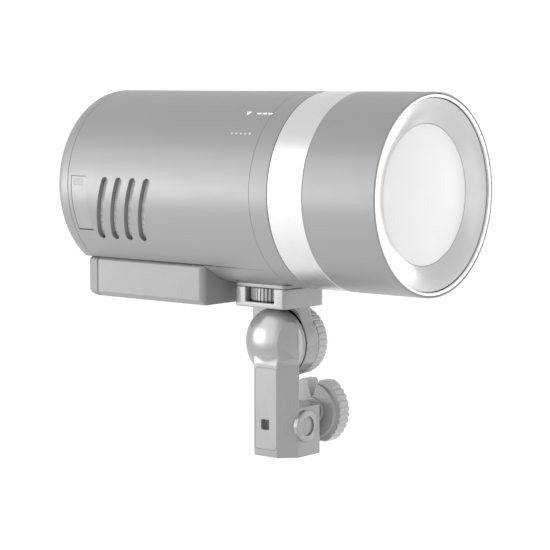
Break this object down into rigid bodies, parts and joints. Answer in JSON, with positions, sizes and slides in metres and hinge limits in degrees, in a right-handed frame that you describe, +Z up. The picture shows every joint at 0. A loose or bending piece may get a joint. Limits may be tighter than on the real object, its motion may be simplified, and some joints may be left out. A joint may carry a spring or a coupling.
{
  "type": "monolight strobe",
  "caption": "Cylindrical battery monolight strobe: frosted front glass in a removable barrel, silver lock ring, side vents, slide-on battery, tilting bracket with a stand socket and wing clamp.",
  "frame": {"origin": "centre of the stand socket's mouth, at the bottom of the bracket", "axes": "+Z up along the stand, the lamp's axis along Y with its front facing -Y, the tilt axis along X with the two hand knobs on +X"},
  "size_m": [0.089, 0.189, 0.167],
  "materials": {
    "casing": "satin grey powder coat",
    "battery_shell": "fine matt texture",
    "lock_ring": "satin silver anodised",
    "bright_trim": "bright turned edge",
    "reflector": "vapour-coated reflector",
    "frosted_glass": "frosted",
    "clear_quartz": "clear quartz",
    "display_pane": "smoked pane",
    "black_plastic": "matt moulded",
    "button_rubber": "matt rubber",
    "bracket_metal": "satin powder coat",
    "panel_metal": "satin",
    "steel": "plain",
    "wheel_metal": "dark anodised",
    "aluminium": "plain",
    "brass": "plain",
    "ceramic": "glazed",
    "board": "solder resist",
    "component": "moulded",
    "cell": "film wrapped",
    "latch": "matt"
  },
  "bodies": {
    "bracket": {"bracket_arm": "bracket_metal", "arm_panel": "panel_metal", "pivot_nut": "steel", "tilt_washer": "steel"},
    "clamp_pad": {"clamp_pad": "brass"},
    "wing_knob": {"wing_knob": "black_plastic", "clamp_screw": "steel"},
    "tilt_knob": {"tilt_knob": "black_plastic", "tilt_bolt": "steel", "knob_cap": "panel_metal", "knob_washer": "steel"},
    "lamp": {"mount_yoke": "bracket_metal", "yoke_plate": "panel_metal", "plate_screws": "steel", "yoke_pad": "button_rubber", "mount_foot": "aluminium", "housing_shell": "casing", "vent_mesh": "black_plastic", "battery_deck": "casing", "contact_pins": "brass", "rear_bezel": "casing", "rear_panel": "black_plastic", "display_window": "display_pane", "display_module": "black_plastic", "control_board": "board", "dial_encoder": "component", "front_frame": "casing", "reflector_dish": "reflector", "flash_tube": "clear_quartz", "tube_base": "ceramic", "modelling_led": "ceramic", "heat_sink": "aluminium", "main_board": "board", "capacitors": "component", "charge_transformer": "component", "fan_frame": "black_plastic", "port_board": "board", "usb_socket": "steel", "sync_socket": "component"},
    "thumbwheel": {"thumbwheel": "wheel_metal", "mount_screw": "steel"},
    "lock_ring": {"lock_ring": "lock_ring"},
    "front_barrel": {"front_barrel": "casing", "rim_ring": "bright_trim", "cone_reflector": "reflector", "front_glass": "frosted_glass", "glass_retainer": "black_plastic"},
    "battery": {"battery_case": "battery_shell", "battery_end_cap": "battery_shell", "battery_contacts": "brass", "battery_cells": "cell"},
    "battery_latch": {"battery_latch": "latch"},
    "fan_rotor": {"fan_rotor": "black_plastic"},
    "port_cover": {"port_cover": "button_rubber"},
    "select_dial": {"select_dial": "black_plastic"},
    "set_button": {"set_button": "button_rubber"},
    "power_button": {"power_button": "button_rubber"},
    "menu_button": {"menu_button": "button_rubber"},
    "test_button": {"test_button": "button_rubber"},
    "lamp_button": {"lamp_button": "button_rubber"}
  },
  "joints": [
    {"name": "head_tilt", "type": "hinge", "parent": "bracket", "child": "lamp", "pos_m": [0, 0.0031, 0.052], "axis": [1, 0, 0], "range_deg": [-90, 90]},
    {"name": "tilt_knob_turn", "type": "hinge", "parent": "bracket", "child": "tilt_knob", "pos_m": [0, 0.0031, 0.052], "axis": [1, 0, 0], "range_deg": [0, 360]},
    {"name": "wing_knob_turn", "type": "hinge", "parent": "clamp_pad", "child": "wing_knob", "pos_m": [0, 0, 0.018], "axis": [-1, 0, 0], "range_deg": [0, 722]},
    {"name": "clamp_travel", "type": "slide", "parent": "bracket", "child": "clamp_pad", "axis": [-1, 0, 0], "range_m": [0, 0.0025]},
    {"name": "thumbwheel_turn", "type": "hinge", "parent": "lamp", "child": "thumbwheel", "pos_m": [0, 0.0058, 0.074], "axis": [0, 0, 1], "range_deg": [0, 720]},
    {"name": "lock_ring_twist", "type": "hinge", "parent": "lamp", "child": "lock_ring", "pos_m": [0, 0, 0.1225], "axis": [0, 1, 0], "range_deg": [0, 25]},
    {"name": "barrel_removal", "type": "slide", "parent": "lamp", "child": "front_barrel", "axis": [0, -1, 0], "range_m": [0, 0.06]},
    {"name": "battery_removal", "type": "slide", "parent": "lamp", "child": "battery", "axis": [0, 1, 0], "range_m": [0, 0.09]},
    {"name": "battery_latch_press", "type": "slide", "parent": "battery", "child": "battery_latch", "axis": [0, -1, 0], "range_m": [0, 0.002], "stiffness_N_per_m": 800, "springref_m": -0.0005},
    {"name": "fan_spin", "type": "hinge", "parent": "lamp", "child": "fan_rotor", "pos_m": [0, 0.065, 0.1326], "axis": [0, 1, 0], "continuous": true},
    {"name": "port_cover_swing", "type": "hinge", "parent": "lamp", "child": "port_cover", "pos_m": [-0.03877, 0.0913, 0.103], "axis": [0, -1, 0], "range_deg": [0, 90]},
    {"name": "dial_turn", "type": "hinge", "parent": "lamp", "child": "select_dial", "pos_m": [0, 0.105, 0.109], "axis": [0, 1, 0], "continuous": true},
    {"name": "set_button_press", "type": "slide", "parent": "lamp", "child": "set_button", "axis": [0, -1, 0], "range_m": [0, 0.0007], "stiffness_N_per_m": 900, "springref_m": -0.0003},
    {"name": "power_button_press", "type": "slide", "parent": "lamp", "child": "power_button", "axis": [0, -1, 0], "range_m": [0, 0.0007], "stiffness_N_per_m": 900, "springref_m": -0.0003},
    {"name": "menu_button_press", "type": "slide", "parent": "lamp", "child": "menu_button", "axis": [0, -1, 0], "range_m": [0, 0.0007], "stiffness_N_per_m": 900, "springref_m": -0.0003},
    {"name": "test_button_press", "type": "slide", "parent": "lamp", "child": "test_button", "axis": [0, -1, 0], "range_m": [0, 0.0007], "stiffness_N_per_m": 900, "springref_m": -0.0003},
    {"name": "lamp_button_press", "type": "slide", "parent": "lamp", "child": "lamp_button", "axis": [0, -1, 0], "range_m": [0, 0.0007], "stiffness_N_per_m": 900, "springref_m": -0.0003}
  ],
  "couplings": [
    {"joint": "wing_knob_turn", "follows": "clamp_travel", "rad_per_m": 5026.5}
  ]
}
